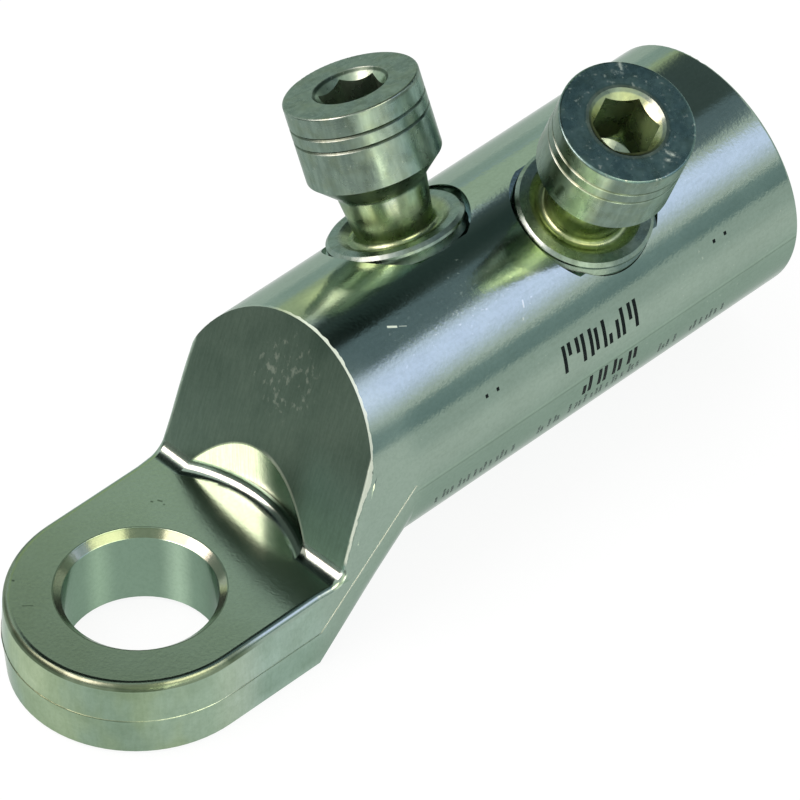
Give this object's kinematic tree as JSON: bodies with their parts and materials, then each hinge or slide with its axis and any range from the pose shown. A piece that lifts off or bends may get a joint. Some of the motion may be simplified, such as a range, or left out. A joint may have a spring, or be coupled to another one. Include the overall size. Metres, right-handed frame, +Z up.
{
  "type": "mechanical cable lug",
  "caption": "Cable lug with a round stud palm and a barrel whose shear bolts clamp the conductor.",
  "frame": {"origin": "centre of the stud hole on the palm's underside, the contact face", "axes": "+X from the palm to the barrel's mouth, +Z up to the side that the shear bolts stand on"},
  "size_m": [0.0768, 0.0299, 0.0381],
  "materials": {
    "tinned_body": "tin plated, semi-bright",
    "tinned_bolt": "tin plated, satin"
  },
  "bodies": {
    "lug": {"lug_body": "tinned_body"},
    "inner_bolt": {"inner_shear_bolt": "tinned_bolt"},
    "outer_bolt": {"outer_shear_bolt": "tinned_bolt"}
  },
  "joints": [
    {"name": "inner_bolt_screw", "type": "slide", "parent": "lug", "child": "inner_bolt", "axis": [0, 0.3907, 0.9205], "range_m": [-0.0055, 0.006]},
    {"name": "outer_bolt_screw", "type": "slide", "parent": "lug", "child": "outer_bolt", "axis": [0, -0.3649, 0.9311], "range_m": [-0.0055, 0.006]}
  ]
}
